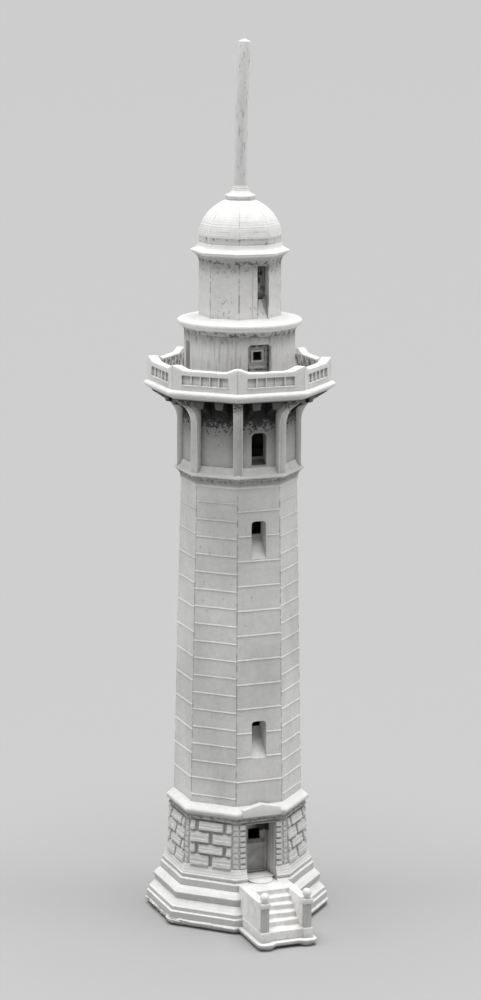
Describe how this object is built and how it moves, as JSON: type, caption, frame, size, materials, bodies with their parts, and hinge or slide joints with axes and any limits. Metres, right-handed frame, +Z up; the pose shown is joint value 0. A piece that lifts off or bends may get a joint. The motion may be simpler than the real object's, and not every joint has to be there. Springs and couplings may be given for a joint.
{
  "type": "miniature landmark model",
  "caption": "Free-standing souvenir model of a tall octagonal tower with a stepped plinth, front stairs, bracketed gallery, watch room, lantern room, ribbed dome and mast.",
  "frame": {"origin": "centre of the octagonal tower in the plane of the base's underside", "axes": "+Z up along the tower's axis, -Y out of the entrance and down the front stairs, +X to the right of a person who faces the entrance"},
  "size_m": [0.0242, 0.0316, 0.12],
  "materials": {
    "wall_resin": "matte off-white casting resin with fine layer lines",
    "trim_resin": "matte off-white casting resin, worn lighter at the edges",
    "base_resin": "matte off-white casting resin, slightly chalky",
    "joinery_resin": "matte grey casting resin, darker in the recesses"
  },
  "bodies": {
    "root": {"base_slab": "base_resin", "belt_course": "trim_resin", "corbel_storey": "wall_resin", "corner_pilaster_1": "trim_resin", "corner_pilaster_2": "trim_resin", "corner_pilaster_3": "trim_resin", "corner_pilaster_4": "trim_resin", "corner_pilaster_5": "trim_resin", "corner_pilaster_6": "trim_resin", "corner_pilaster_7": "trim_resin", "corner_pilaster_8": "trim_resin", "corner_quoins": "trim_resin", "dome": "wall_resin", "door_step": "base_resin", "entrance_door": "joinery_resin", "entrance_frame": "trim_resin", "entrance_pediment": "trim_resin", "finial_collar": "trim_resin", "gallery_brackets": "trim_resin", "gallery_deck": "trim_resin", "ground_cornice": "trim_resin", "ground_wall": "wall_resin", "jamb_stones": "trim_resin", "lantern_cornice": "trim_resin", "lantern_room": "wall_resin", "mast": "trim_resin", "newel_ball_left": "base_resin", "newel_ball_right": "base_resin", "newel_post_left": "base_resin", "newel_post_right": "base_resin", "parapet_panel_1": "trim_resin", "parapet_panel_2": "trim_resin", "parapet_panel_3": "trim_resin", "parapet_panel_4": "trim_resin", "parapet_panel_5": "trim_resin", "parapet_panel_6": "trim_resin", "parapet_panel_7": "trim_resin", "parapet_panel_8": "trim_resin", "plinth_cap": "base_resin", "plinth_step": "base_resin", "plinth_torus": "base_resin", "round_cornice": "trim_resin", "rustic_blocks": "trim_resin", "stair_cheek_left": "base_resin", "stair_cheek_right": "base_resin", "stair_flight": "base_resin", "tower_shaft": "wall_resin", "watch_room": "wall_resin", "watch_room_door": "joinery_resin", "watch_room_window_back": "joinery_resin", "watch_room_window_left": "joinery_resin", "watch_room_window_right": "joinery_resin"}
  },
  "joints": []
}
